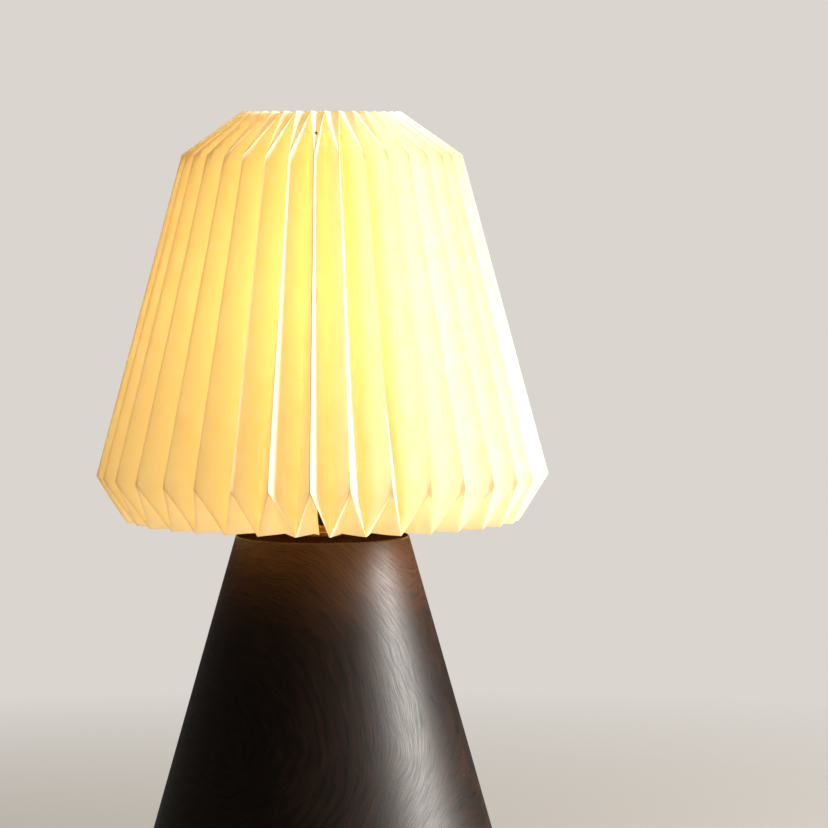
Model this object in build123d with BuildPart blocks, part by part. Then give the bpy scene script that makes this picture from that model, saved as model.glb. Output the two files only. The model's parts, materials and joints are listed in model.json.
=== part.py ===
"""Pleated paper table lamp: a cross-folded paper shade that lifts off a hollow turned-wood cone."""
import os
from math import atan, cos, degrees, radians, sin, sqrt

from build123d import *

os.makedirs("parts", exist_ok=True)

# ---------------------------------------------------------------- driving dimensions, in mm
# Turned cone. Heights count from the surface that the lamp stands on.
base_height = 260.0
base_top_radius = 53.3
base_bottom_radius = 126.5
base_wall = 14.0
base_top_thickness = 18.0
base_top_rounding = 1.5
base_foot_rounding = 1.0

# Underside: plywood plate sunk in the wood, felt over it, iron ballast on it.
felt_thickness = 2.0
felt_stand_out = 1.0
plate_thickness = 6.0
plate_rim_width = 8.0
plate_clearance = 0.4
plate_screw_count = 4
plate_screw_diameter = 3.5
plate_screw_head_diameter = 7.0
plate_screw_length = 18.0
plate_screw_turn = 45.0
ballast_radius = 62.0
ballast_thickness = 14.0
ballast_bore_radius = 12.0
ballast_rounding = 2.0
ballast_screw_count = 3
ballast_screw_diameter = 5.0
ballast_screw_head_diameter = 9.5
ballast_screw_bite = 9.0
ballast_screw_circle_radius = 40.0
ballast_screw_turn = 90.0
screw_clearance = 0.1

# Cord entry: a turned brass bush let into the back of the cone, square to its slanted side.
entry_height = 26.0
entry_bore_diameter = 6.4
entry_bush_diameter = 10.0
entry_flange_diameter = 15.0
entry_flange_thickness = 2.0
entry_flange_sunk = 1.4
entry_bush_stand_in = 3.0
entry_clearance = 0.15
entry_mouth_rounding = 0.6
entry_drill_overshoot = 5.6

# Stem: slim black tube through the top of the cone, clamped by a nut in a pocket underneath.
stem_diameter = 6.0
stem_bore_diameter = 4.4
stem_clearance = 0.1
stem_shown_length = 36.0
stem_tail_length = 2.0
nut_pocket_radius = 13.0
nut_pocket_depth = 10.0
washer_diameter = 20.0
washer_thickness = 1.5
nut_across_flats = 10.0
nut_height = 5.0
foot_flange_diameter = 24.0
foot_flange_thickness = 2.0
foot_collar_diameter = 11.0
foot_collar_height = 6.0
foot_collar_rounding = 1.0

# Wiring that stays inside the lamp: a two-way terminal block under the top, and two leads.
block_length = 18.0
block_width = 17.0
block_height = 11.5
block_distance = 20.0
block_entry_radius = 1.6
block_entry_spacing = 8.4
block_entry_drop = 5.5
block_clamp_radius = 1.3
block_clamp_inset = 4.5
block_screw_radius = 1.2
block_screw_head_radius = 2.4
block_screw_head_height = 1.4
block_screw_bite = 6.0
lead_diameter = 1.6
lead_spacing = 2.2
lead_bend_radius = 5.0
lead_splay_radius = 4.0
lead_in_block = 5.0
lead_in_insert = 4.0
lead_straight_length = 2.0

# Lampholder for a standard screw-in bulb.
holder_radius = 19.5
holder_wall = 1.6
holder_neck_radius = 7.0
holder_neck_length = 8.0
holder_cap_length = 20.0
holder_shoulder_rounding = 8.0
holder_inner_rounding = 4.0
holder_seat_step = 1.5
insert_below_joint = 5.0
insert_above_joint = 4.0
insert_clearance = 0.1
holder_body_length = 34.0
holder_flange_radius = 23.5
holder_flange_thickness = 2.5
holder_flange_rise = 8.0
stem_in_holder = 7.0
lock_screw_diameter = 3.0
lock_screw_rise = 4.0
shell_inner_radius = 13.4
shell_wall = 0.5
shell_length = 27.0
shell_lip_inner_radius = 11.0
contact_width = 5.0
contact_thickness = 0.5
contact_lift = 3.0
contact_reach = 10.0
contact_flat = 4.0
contact_foot = 4.5

# Wire shade carrier, held on the lampholder by a screw-on ring.
carrier_ring_wire_radius = 1.5
carrier_arm_wire_radius = 1.25
carrier_hub_outer_radius = 31.5
carrier_hub_thickness = 1.5
carrier_hub_clearance = 0.3
carrier_arm_count = 3
carrier_arm_inset = 2.5
first_arm_angle = 90.0
carrier_ring_drop = 14.0
carrier_clearance = 0.3
clamp_ring_radius = 23.5
clamp_ring_flange_radius = 26.5
clamp_ring_flange_thickness = 2.0
clamp_ring_height = 8.0
clamp_ring_clearance = 0.05
clamp_ring_grip_count = 24
clamp_ring_grip_radius = 1.2

# Bulb: pear-shaped envelope on a screw cap.
bulb_length = 105.0
bulb_radius = 30.0
bulb_wall = 0.8
bulb_neck_radius = 12.4
bulb_neck_straight = 8.0
bulb_cap_radius = 13.1
bulb_cap_length = 24.0
bulb_cap_wall = 0.5
bulb_insulator_height = 4.0
bulb_insulator_foot_radius = 5.5
bulb_tip_radius = 4.6
bulb_tip_height = 1.6
bulb_contact_gap = 0.2
bulb_mount_foot_radius = 8.0
bulb_mount_top_radius = 2.5
bulb_mount_height = 34.0
bulb_filament_count = 4
bulb_filament_radius = 0.9
bulb_filament_length = 30.0
bulb_filament_circle_radius = 9.0
bulb_spider_thickness = 0.8

# Paper shade. A ridge runs from the lower crease to the upper crease on each pleat, and the
# folds between two pleats run from tip to tip. Beyond each crease the pleat is turned inside out.
pleat_count = 36
shade_gap_above_base = 11.0
shade_height = 249.0
bottom_tip_radius = 121.0
lower_crease_radius = 140.0
lower_crease_rise = 27.0
upper_crease_radius = 86.3
upper_crease_drop = 26.5
top_tip_radius = 48.5
top_fold_radius = 45.0
top_fold_drop = 1.0
bottom_fold_radius = 97.0
bottom_fold_rise = 0.3
paper_thickness = 0.4
seam_overlap_width = 8.0
gathering_radius = 60.0
gathering_cord_radius = 0.75
gathering_cord_drop = 3.0
gathering_hole_clearance = 0.25
rim_ring_radius = 0.9
rim_ring_clearance = 0.05

# ---------------------------------------------------------------- derived places
wood_bottom = felt_stand_out
plate_bottom = felt_thickness
plate_top = plate_bottom + plate_thickness
ceiling = base_height - base_top_thickness
pocket_roof = ceiling + nut_pocket_depth

cone_lean = (base_bottom_radius - base_top_radius) / (base_height - wood_bottom)
cone_lean_angle = degrees(atan(cone_lean))
wall_across = base_wall / cos(atan(cone_lean))
rebate_radius = base_bottom_radius - plate_rim_width


def outer_radius(height):
    """Radius of the cone's outside at a height."""
    return base_bottom_radius - cone_lean * (height - wood_bottom)


def inner_radius(height):
    """Radius of the cone's hollow at a height."""
    return outer_radius(height) - wall_across


def turned(points):
    """Revolve a closed outline of (radius, height) points about the lamp's axis."""
    with BuildPart() as solid:
        with BuildSketch(Plane.XZ):
            with BuildLine():
                Polyline(*points, close=True)
            make_face()
        revolve(axis=Axis.Z)
    return solid.part


def keep(finished, name):
    """Label a finished piece and write it to its own file."""
    finished.label = name
    export_step(finished, f"parts/{name}.step")


# ---------------------------------------------------------------- turned wood cone
stem_hole_radius = stem_diameter / 2 + stem_clearance
entry_plane = Plane(
    origin=(0, outer_radius(entry_height), entry_height),
    x_dir=(1, 0, 0),
    z_dir=(0, cos(radians(cone_lean_angle)), sin(radians(cone_lean_angle))),
)
entry_axis = Axis(entry_plane.origin, entry_plane.z_dir)
underside_of_plate = Plane(origin=(0, 0, plate_bottom), x_dir=(1, 0, 0), z_dir=(0, 0, -1))
plate_screw_circle_radius = (rebate_radius + inner_radius(plate_top)) / 2
plate_screw_circle = (plate_screw_circle_radius, plate_screw_count, plate_screw_turn)
ballast_screw_circle = (ballast_screw_circle_radius, ballast_screw_count, ballast_screw_turn)

with BuildPart() as base_cone:
    with BuildSketch(Plane.XZ) as cone_outline:
        with BuildLine():
            Polyline(
                (rebate_radius, wood_bottom),
                (base_bottom_radius, wood_bottom),
                (base_top_radius, base_height),
                (stem_hole_radius, base_height),
                (stem_hole_radius, pocket_roof),
                (nut_pocket_radius, pocket_roof),
                (nut_pocket_radius, ceiling),
                (inner_radius(ceiling), ceiling),
                (inner_radius(plate_top), plate_top),
                (rebate_radius, plate_top),
                close=True,
            )
        make_face()
        top_corner = cone_outline.vertices().group_by(Axis.Y)[-1].sort_by(Axis.X)[-1]
        fillet(top_corner, base_top_rounding)
        foot_corner = cone_outline.vertices().group_by(Axis.Y)[0].sort_by(Axis.X)[-1]
        fillet(foot_corner, base_foot_rounding)
    revolve(axis=Axis.Z)
    with Locations(entry_plane):
        CounterBoreHole(
            entry_bush_diameter / 2 + entry_clearance,
            entry_flange_diameter / 2 + entry_clearance,
            entry_flange_sunk,
            base_wall + entry_drill_overshoot,
        )
    with Locations(underside_of_plate):
        with PolarLocations(*plate_screw_circle):
            Hole(plate_screw_diameter / 2 + screw_clearance, depth=plate_screw_length + screw_clearance)
    with Locations((0, block_distance + block_length / 2, ceiling)):
        Cylinder(
            block_screw_radius + screw_clearance,
            block_screw_bite + screw_clearance,
            align=(Align.CENTER, Align.CENTER, Align.MIN),
            mode=Mode.SUBTRACT,
        )
keep(base_cone.part, "base_cone")

# ---------------------------------------------------------------- underside
with BuildPart() as bottom_plate:
    with Locations((0, 0, plate_bottom)):
        Cylinder(
            rebate_radius - plate_clearance,
            plate_thickness,
            align=(Align.CENTER, Align.CENTER, Align.MIN),
        )
    with Locations(underside_of_plate):
        with PolarLocations(*plate_screw_circle):
            CounterSinkHole(
                plate_screw_diameter / 2 + screw_clearance,
                plate_screw_head_diameter / 2 + screw_clearance,
                counter_sink_angle=90,
            )
        with PolarLocations(*ballast_screw_circle):
            CounterSinkHole(
                ballast_screw_diameter / 2 + screw_clearance,
                ballast_screw_head_diameter / 2 + screw_clearance,
                counter_sink_angle=90,
            )
keep(bottom_plate.part, "bottom_plate")


def countersunk_screws(circle, diameter, head_diameter, length):
    """A group of flat-headed screws whose heads lie level with the underside of the plate."""
    head_height = (head_diameter - diameter) / 2
    with BuildPart() as screws:
        with Locations(underside_of_plate):
            with PolarLocations(*circle):
                Cone(
                    diameter / 2,
                    head_diameter / 2,
                    head_height,
                    align=(Align.CENTER, Align.CENTER, Align.MAX),
                )
                Cylinder(diameter / 2, length, align=(Align.CENTER, Align.CENTER, Align.MAX))
    return screws.part


plate_screws = countersunk_screws(
    plate_screw_circle,
    plate_screw_diameter,
    plate_screw_head_diameter,
    plate_screw_length,
)
keep(plate_screws, "bottom_plate_screws")

ballast_screws = countersunk_screws(
    ballast_screw_circle,
    ballast_screw_diameter,
    ballast_screw_head_diameter,
    plate_thickness + ballast_screw_bite,
)
keep(ballast_screws, "ballast_screws")

with BuildPart() as ballast_weight:
    with Locations((0, 0, plate_top)):
        Cylinder(
            ballast_radius,
            ballast_thickness,
            align=(Align.CENTER, Align.CENTER, Align.MIN),
        )
    fillet(ballast_weight.faces().sort_by(Axis.Z)[-1].edges(), ballast_rounding)
    with Locations((0, 0, plate_top + ballast_thickness)):
        Hole(ballast_bore_radius, depth=ballast_thickness)
    with Locations(Plane(origin=(0, 0, plate_top), x_dir=(1, 0, 0), z_dir=(0, 0, -1))):
        with PolarLocations(*ballast_screw_circle):
            Hole(ballast_screw_diameter / 2 + screw_clearance, depth=ballast_screw_bite + screw_clearance)
keep(ballast_weight.part, "ballast_weight")

with BuildPart() as felt_pad:
    Cylinder(
        rebate_radius - plate_clearance,
        felt_thickness,
        align=(Align.CENTER, Align.CENTER, Align.MIN),
    )
keep(felt_pad.part, "felt_pad")

# ---------------------------------------------------------------- cord entry bush
with BuildPart() as cord_entry_bush:
    with BuildSketch(entry_plane.offset(-entry_flange_sunk)):
        Circle(entry_flange_diameter / 2)
    extrude(amount=entry_flange_thickness)
    with BuildSketch(entry_plane.offset(-entry_flange_sunk)):
        Circle(entry_bush_diameter / 2)
    extrude(amount=entry_flange_sunk - base_wall - entry_bush_stand_in)
    with BuildSketch(entry_plane.offset(entry_flange_thickness)):
        Circle(entry_bore_diameter / 2)
    extrude(amount=-entry_flange_thickness - base_wall - entry_bush_stand_in, mode=Mode.SUBTRACT)
    flange_face = cord_entry_bush.faces().filter_by(GeomType.PLANE).sort_by(entry_axis)[-1]
    fillet(flange_face.edges(), entry_mouth_rounding)
keep(cord_entry_bush.part, "cord_entry_bush")

# ---------------------------------------------------------------- stem and its fixings
holder_bottom = base_height + stem_shown_length
stem_bottom = pocket_roof - washer_thickness - nut_height - stem_tail_length
stem_top = holder_bottom + stem_in_holder

with BuildPart() as stem_tube:
    with BuildSketch(Plane.XY.offset(stem_bottom)):
        Circle(stem_diameter / 2)
        Circle(stem_bore_diameter / 2, mode=Mode.SUBTRACT)
    extrude(amount=stem_top - stem_bottom)
keep(stem_tube.part, "stem_tube")

with BuildPart() as foot_flange:
    with BuildSketch(Plane.XY.offset(base_height)):
        Circle(foot_flange_diameter / 2)
    extrude(amount=foot_flange_thickness)
    with BuildSketch(Plane.XY.offset(base_height)):
        Circle(foot_collar_diameter / 2)
    extrude(amount=foot_collar_height)
    fillet(foot_flange.faces().sort_by(Axis.Z)[-1].edges(), foot_collar_rounding)
    with BuildSketch(Plane.XY.offset(base_height)):
        Circle(stem_hole_radius)
    extrude(amount=foot_collar_height, mode=Mode.SUBTRACT)
keep(foot_flange.part, "stem_foot_flange")

with BuildPart() as stem_washer:
    with BuildSketch(Plane.XY.offset(pocket_roof)):
        Circle(washer_diameter / 2)
        Circle(stem_hole_radius, mode=Mode.SUBTRACT)
    extrude(amount=-washer_thickness)
keep(stem_washer.part, "stem_washer")

with BuildPart() as stem_nut:
    with BuildSketch(Plane.XY.offset(pocket_roof - washer_thickness)):
        RegularPolygon(nut_across_flats / 2, 6, major_radius=False)
        Circle(stem_hole_radius, mode=Mode.SUBTRACT)
    extrude(amount=-nut_height)
keep(stem_nut.part, "stem_nut")

# ---------------------------------------------------------------- lampholder
cap_top = holder_bottom + holder_cap_length
insert_bottom = cap_top - insert_below_joint
insert_top = cap_top + insert_above_joint
holder_top = cap_top + holder_body_length
flange_top = cap_top + holder_flange_rise
stem_socket_radius = stem_diameter / 2 + stem_clearance
neck_top = holder_bottom + holder_neck_length
holder_inside = holder_radius - holder_wall
lock_plane = Plane(origin=(0, -holder_neck_radius, holder_bottom + lock_screw_rise), z_dir=(0, -1, 0))

with BuildPart() as holder_cap:
    with BuildSketch(Plane.XZ) as cap_outline:
        with BuildLine():
            Polyline(
                (stem_socket_radius, holder_bottom),
                (holder_neck_radius, holder_bottom),
                (holder_neck_radius, neck_top),
                (holder_radius, neck_top),
                (holder_radius, cap_top),
                (holder_inside, cap_top),
                (holder_inside, insert_bottom),
                (holder_inside - holder_seat_step, insert_bottom),
                (holder_inside - holder_seat_step, neck_top + holder_wall),
                (stem_socket_radius, neck_top + holder_wall),
                close=True,
            )
        make_face()
        shoulder = cap_outline.vertices().filter_by(lambda v: abs(v.Y - neck_top) < 1e-6)
        fillet(shoulder.sort_by(Axis.X)[-1], holder_shoulder_rounding)
        inner_shoulder = cap_outline.vertices().filter_by(
            lambda v: abs(v.Y - neck_top - holder_wall) < 1e-6
        )
        fillet(inner_shoulder.sort_by(Axis.X)[-1], holder_inner_rounding)
    revolve(axis=Axis.Z)
    with Locations(lock_plane):
        Hole(lock_screw_diameter / 2 + screw_clearance, depth=holder_neck_radius - stem_diameter / 2)
keep(holder_cap.part, "holder_cap")

with BuildPart() as holder_lock_screw:
    with Locations(lock_plane):
        Cylinder(
            lock_screw_diameter / 2,
            holder_neck_radius - stem_socket_radius,
            align=(Align.CENTER, Align.CENTER, Align.MAX),
        )
keep(holder_lock_screw.part, "holder_lock_screw")

holder_body = turned(
    [
        (holder_inside, cap_top),
        (holder_radius, cap_top),
        (holder_radius, flange_top - holder_flange_thickness),
        (holder_flange_radius, flange_top - holder_flange_thickness),
        (holder_flange_radius, flange_top),
        (holder_radius, flange_top),
        (holder_radius, holder_top),
        (holder_inside, holder_top),
    ]
)
keep(holder_body, "holder_body")

with BuildPart() as holder_insert:
    with Locations((0, 0, insert_bottom)):
        Cylinder(
            holder_inside - insert_clearance,
            insert_top - insert_bottom,
            align=(Align.CENTER, Align.CENTER, Align.MIN),
        )
    with Locations(Plane(origin=(0, 0, insert_bottom), x_dir=(1, 0, 0), z_dir=(0, 0, -1))):
        with GridLocations(lead_spacing, 1, 2, 1):
            Hole(lead_diameter / 2 + screw_clearance, depth=lead_in_insert + screw_clearance)
keep(holder_insert.part, "holder_insert")

screw_shell = turned(
    [
        (shell_lip_inner_radius, insert_top),
        (shell_inner_radius + shell_wall, insert_top),
        (shell_inner_radius + shell_wall, insert_top + shell_length),
        (shell_inner_radius, insert_top + shell_length),
        (shell_inner_radius, insert_top + shell_wall),
        (shell_lip_inner_radius, insert_top + shell_wall),
    ]
)
keep(screw_shell, "screw_shell")

contact_top = insert_top + contact_lift + contact_thickness
with BuildPart() as centre_contact:
    with BuildSketch(Plane.XZ):
        with BuildLine():
            Polyline(
                (-contact_reach, insert_top),
                (-contact_reach + contact_foot, insert_top),
                (-contact_flat, insert_top + contact_lift),
                (contact_flat, insert_top + contact_lift),
                (contact_flat, contact_top),
                (-contact_flat - contact_thickness / 2, contact_top),
                (-contact_reach + contact_foot - contact_thickness / 2, insert_top + contact_thickness),
                (-contact_reach, insert_top + contact_thickness),
                close=True,
            )
        make_face()
    extrude(amount=contact_width / 2, both=True)
keep(centre_contact.part, "centre_contact")

# ---------------------------------------------------------------- terminal block and leads
block_middle = block_distance + block_length / 2
entry_line_height = ceiling - block_entry_drop
block_top_plane = Plane(origin=(0, block_middle, ceiling), x_dir=(1, 0, 0), z_dir=(0, 0, 1))
block_under_plane = Plane(
    origin=(0, block_middle, ceiling - block_height), x_dir=(1, 0, 0), z_dir=(0, 0, -1)
)

with BuildPart() as terminal_block:
    with Locations(block_top_plane):
        Box(
            block_width,
            block_length,
            block_height,
            align=(Align.CENTER, Align.CENTER, Align.MAX),
        )
    with BuildSketch(Plane(origin=(0, block_distance, entry_line_height), z_dir=(0, 1, 0), x_dir=(1, 0, 0))):
        with GridLocations(block_entry_spacing, 1, 2, 1):
            Circle(block_entry_radius)
    extrude(amount=block_length, mode=Mode.SUBTRACT)
    with Locations(block_under_plane):
        Hole(block_screw_radius + screw_clearance)
        with GridLocations(block_entry_spacing, block_length - 2 * block_clamp_inset, 2, 2):
            Hole(block_clamp_radius + screw_clearance, depth=block_height - block_entry_drop)
keep(terminal_block.part, "terminal_block")

with BuildPart() as terminal_clamp_screws:
    with Locations(block_under_plane):
        with GridLocations(block_entry_spacing, block_length - 2 * block_clamp_inset, 2, 2):
            Cylinder(
                block_clamp_radius,
                block_height - block_entry_drop - block_entry_radius,
                align=(Align.CENTER, Align.CENTER, Align.MAX),
            )
keep(terminal_clamp_screws.part, "terminal_clamp_screws")

with BuildPart() as terminal_fixing_screw:
    with Locations(block_under_plane):
        Cylinder(
            block_screw_head_radius,
            block_screw_head_height,
            align=(Align.CENTER, Align.CENTER, Align.MIN),
        )
        Cylinder(
            block_screw_radius,
            block_height + block_screw_bite,
            align=(Align.CENTER, Align.CENTER, Align.MAX),
        )
keep(terminal_fixing_screw.part, "terminal_fixing_screw")


def inner_lead(side):
    """One insulated lead, from the insert down the stem and into its side of the terminal block."""
    in_stem = side * lead_spacing / 2
    in_block = side * block_entry_spacing / 2
    splay_start = block_distance / 2
    route = FilletPolyline(
        (in_stem, 0, insert_bottom + lead_in_insert),
        (in_stem, 0, entry_line_height),
        (in_stem, splay_start, entry_line_height),
        (in_block, block_distance - lead_straight_length, entry_line_height),
        (in_block, block_distance + lead_in_block, entry_line_height),
        radius=[lead_bend_radius, lead_splay_radius, lead_splay_radius],
    )
    with BuildPart() as lead:
        with BuildSketch(Plane(origin=route @ 0, z_dir=route % 0)):
            Circle(lead_diameter / 2)
        sweep(path=route)
    return lead.part


keep(inner_lead(-1), "lead_live")
keep(inner_lead(1), "lead_neutral")

# ---------------------------------------------------------------- folded paper shade
bottom_tip_height = base_height + shade_gap_above_base
top_tip_height = bottom_tip_height + shade_height
lower_crease_height = bottom_tip_height + lower_crease_rise
upper_crease_height = top_tip_height - upper_crease_drop
pleat_angle = 360 / pleat_count
first_ridge_angle = -90


def at(radius, height, pleat):
    """Point at a radius and a height, on the meridian of a pleat's ridge. Half steps are its tips."""
    angle = radians(first_ridge_angle + pleat * pleat_angle)
    return Vector(radius * cos(angle), radius * sin(angle), height)


def meeting(normals, depths):
    """Step that goes the given depth along each of three plane normals."""
    first, second, third = normals
    volume = first.dot(second.cross(third))
    return (
        second.cross(third) * depths[0]
        + third.cross(first) * depths[1]
        + first.cross(second) * depths[2]
    ) * (1 / volume)


def outward(normal):
    """Unit normal turned so that it points away from the lamp's axis at the first pleat."""
    normal = normal.normalized()
    return normal if normal.dot(at(1, 0, 0.25)) > 0 else normal * -1


# Corners of the right-hand half of the first pleat, seen from outside.
lower_crease = at(lower_crease_radius, lower_crease_height, 0)
upper_crease = at(upper_crease_radius, upper_crease_height, 0)
top_tip = at(top_tip_radius, top_tip_height, 0.5)
bottom_tip = at(bottom_tip_radius, bottom_tip_height, 0.5)
top_fold = at(top_fold_radius, top_tip_height - top_fold_drop, 0)
bottom_fold = at(bottom_fold_radius, bottom_tip_height + bottom_fold_rise, 0)

panel_normal = outward((top_tip - lower_crease).cross(bottom_tip - upper_crease))
top_normal = outward((top_tip - upper_crease).cross(top_fold - upper_crease))
bottom_normal = outward((bottom_tip - lower_crease).cross(bottom_fold - lower_crease))
ridge_across = at(1, 0, 0).cross(Vector(0, 0, 1))
valley_across = at(1, 0, 0.5).cross(Vector(0, 0, 1))
paper = -paper_thickness

# Step from each corner on the outside of the paper to the same corner on the inside.
inside_step = {
    "lower_crease": meeting((panel_normal, bottom_normal, ridge_across), (paper, paper, 0)),
    "upper_crease": meeting((panel_normal, top_normal, ridge_across), (paper, paper, 0)),
    "top_tip": meeting((panel_normal, top_normal, valley_across), (paper, paper, 0)),
    "bottom_tip": meeting((panel_normal, bottom_normal, valley_across), (paper, paper, 0)),
    "top_fold": meeting(
        (top_normal, ridge_across, (top_fold - upper_crease).normalized()), (paper, 0, 0)
    ),
    "bottom_fold": meeting(
        (bottom_normal, ridge_across, (bottom_fold - lower_crease).normalized()), (paper, 0, 0)
    ),
}
outside_corner = {
    "lower_crease": lower_crease,
    "upper_crease": upper_crease,
    "top_tip": top_tip,
    "bottom_tip": bottom_tip,
    "top_fold": top_fold,
    "bottom_fold": bottom_fold,
}


def corner(name, pleat, layers):
    """A corner of a pleat, a number of paper layers in from the outside of the paper."""
    return (outside_corner[name] + inside_step[name] * layers).rotate(Axis.Z, pleat * pleat_angle)


def folded_sheet(panels, place):
    """Close a folded sheet: its panels outside and inside, and a strip along every cut edge."""
    faces = []
    edge_uses = {}
    for panel in panels:
        faces.append(Face(Wire.make_polygon([place(key, 0) for key in panel])))
        faces.append(Face(Wire.make_polygon([place(key, 1) for key in panel])))
        for start, end in zip(panel, panel[1:] + panel[:1]):
            edge_uses.setdefault(frozenset((start, end)), []).append((start, end))
    for uses in edge_uses.values():
        if len(uses) == 1:
            start, end = uses[0]
            near = [place(start, 0), place(end, 0), place(end, 1)]
            far = [place(start, 0), place(end, 1), place(start, 1)]
            faces.append(Face(Wire.make_polygon(near)))
            faces.append(Face(Wire.make_polygon(far)))
    return Solid(Shell(faces))


def pleat_panels(pleat, side):
    """The paper panels on one side of a pleat's ridge, as lists of corner keys."""
    tip = pleat if side > 0 else (pleat - 1) % pleat_count
    low, high = ("lower_crease", pleat), ("upper_crease", pleat)
    top, bottom = ("top_tip", tip), ("bottom_tip", tip)
    panels = [
        [low, high, top],
        [low, top, bottom],
        [high, top, ("top_fold", pleat)],
    ]
    seam_half = pleat == 0 and side > 0
    if not seam_half:
        panels.append([low, bottom, ("bottom_fold", pleat)])
    return panels


shade_panels = []
for pleat_number in range(pleat_count):
    shade_panels += pleat_panels(pleat_number, 1)
    shade_panels += pleat_panels(pleat_number, -1)

# A cord drawn through punched holes under the top folds keeps the pleats gathered. One stroke of
# the punch goes through both sides of a pleat, and stops half-way to the next one.
fold_slope = (top_tip_height - top_fold_drop - upper_crease_height) / (upper_crease_radius - top_fold_radius)
fold_height_at_cord = upper_crease_height + fold_slope * (upper_crease_radius - gathering_radius)
gathering_height = fold_height_at_cord - gathering_cord_drop
gathering_punch_length = gathering_radius * radians(pleat_angle)

with BuildPart() as pleated_shade:
    add(folded_sheet(shade_panels, lambda key, layers: corner(key[0], key[1], layers)))
    with Locations((0, 0, gathering_height)):
        with PolarLocations(gathering_radius, pleat_count, start_angle=first_ridge_angle):
            Cylinder(
                gathering_cord_radius + gathering_hole_clearance,
                gathering_punch_length,
                rotation=(90, 0, 0),
                mode=Mode.SUBTRACT,
            )
keep(pleated_shade.part, "pleated_shade")

with BuildPart() as gathering_cord:
    with Locations((0, 0, gathering_height)):
        Torus(gathering_radius, gathering_cord_radius)
keep(gathering_cord.part, "gathering_cord")

# Paper ends lap on the inside of the first pleat's right-hand panel.
panel_width = (top_tip - upper_crease).length
lap_share = seam_overlap_width / panel_width
lap_ends = {
    "lap_top": ("upper_crease", "top_tip"),
    "lap_middle": ("lower_crease", "top_tip"),
    "lap_bottom": ("lower_crease", "bottom_tip"),
}


def lap_corner(name, layers):
    """A corner of the overlap strip, which lies one layer of paper further in than the shade."""
    if name in lap_ends:
        start, end = (corner(end_name, 0, layers + 1) for end_name in lap_ends[name])
        return start + (end - start) * lap_share
    return corner(name, 0, layers + 1)


lap_panels = [
    ["lower_crease", "upper_crease", "lap_top", "lap_middle"],
    ["lower_crease", "lap_middle", "lap_bottom"],
]
with BuildPart() as seam_overlap:
    add(folded_sheet(lap_panels, lap_corner))
keep(seam_overlap.part, "seam_overlap")

# Thin wire ring inside the mouth, which the ends of the top folds are glued to.
fold_end_inside = corner("top_fold", 0, 1)
mouth_radius = sqrt(fold_end_inside.X**2 + fold_end_inside.Y**2)
rim_ring_line = mouth_radius - rim_ring_radius - rim_ring_clearance
with BuildPart() as top_rim_ring:
    with Locations((0, 0, fold_end_inside.Z)):
        Torus(rim_ring_line, rim_ring_radius)
keep(top_rim_ring.part, "top_rim_ring")

# ---------------------------------------------------------------- shade carrier
valley_top = corner("top_tip", 0, 1)
valley_bottom = corner("bottom_tip", 0, 1)
valley_top_radius = sqrt(valley_top.X**2 + valley_top.Y**2)
valley_bottom_radius = sqrt(valley_bottom.X**2 + valley_bottom.Y**2)
valley_lean = (valley_bottom_radius - valley_top_radius) / (valley_top.Z - valley_bottom.Z)
carrier_ring_height = top_tip_height - carrier_ring_drop
valley_radius_at_ring = valley_top_radius + valley_lean * (valley_top.Z - carrier_ring_height)
ring_set_in = (carrier_ring_wire_radius + carrier_clearance) / cos(atan(valley_lean))
carrier_ring_radius = valley_radius_at_ring - ring_set_in
hub_top = flange_top + carrier_hub_thickness
arm_foot_radius = carrier_hub_outer_radius - carrier_arm_inset
arm_foot_height = flange_top + carrier_hub_thickness / 2

with BuildPart() as carrier_hub:
    with BuildSketch(Plane.XY.offset(flange_top)):
        Circle(carrier_hub_outer_radius)
        Circle(holder_radius + carrier_hub_clearance, mode=Mode.SUBTRACT)
    extrude(amount=carrier_hub_thickness)
keep(carrier_hub.part, "carrier_hub")

with BuildPart() as carrier_ring:
    with Locations((0, 0, carrier_ring_height)):
        Torus(carrier_ring_radius, carrier_ring_wire_radius)
keep(carrier_ring.part, "carrier_ring")

# The arms are welded on: their feet stand on the hub, and their heads are cut to hug the ring.
with BuildPart() as carrier_arms:
    for arm in range(carrier_arm_count):
        arm_angle = first_arm_angle + arm * 360 / carrier_arm_count
        arm_foot = Vector(arm_foot_radius, 0, arm_foot_height).rotate(Axis.Z, arm_angle)
        arm_head = Vector(carrier_ring_radius, 0, carrier_ring_height).rotate(Axis.Z, arm_angle)
        with BuildSketch(Plane(origin=arm_foot, z_dir=arm_head - arm_foot)):
            Circle(carrier_arm_wire_radius)
        extrude(amount=(arm_head - arm_foot).length)
    add(carrier_hub.part, mode=Mode.SUBTRACT)
    add(carrier_ring.part, mode=Mode.SUBTRACT)
keep(carrier_arms.part, "carrier_arms")

ring_bore_radius = holder_radius + clamp_ring_clearance
ring_rim_height = clamp_ring_height - clamp_ring_flange_thickness
with BuildPart() as carrier_clamp_ring:
    with Locations((0, 0, hub_top)):
        Cylinder(
            clamp_ring_flange_radius,
            clamp_ring_flange_thickness,
            align=(Align.CENTER, Align.CENTER, Align.MIN),
        )
        Cylinder(
            clamp_ring_radius,
            clamp_ring_height,
            align=(Align.CENTER, Align.CENTER, Align.MIN),
        )
    with Locations((0, 0, hub_top + clamp_ring_height)):
        Hole(ring_bore_radius, depth=clamp_ring_height)
        with PolarLocations(clamp_ring_radius, clamp_ring_grip_count):
            Hole(clamp_ring_grip_radius, depth=ring_rim_height)
keep(carrier_clamp_ring.part, "carrier_clamp_ring")

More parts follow.
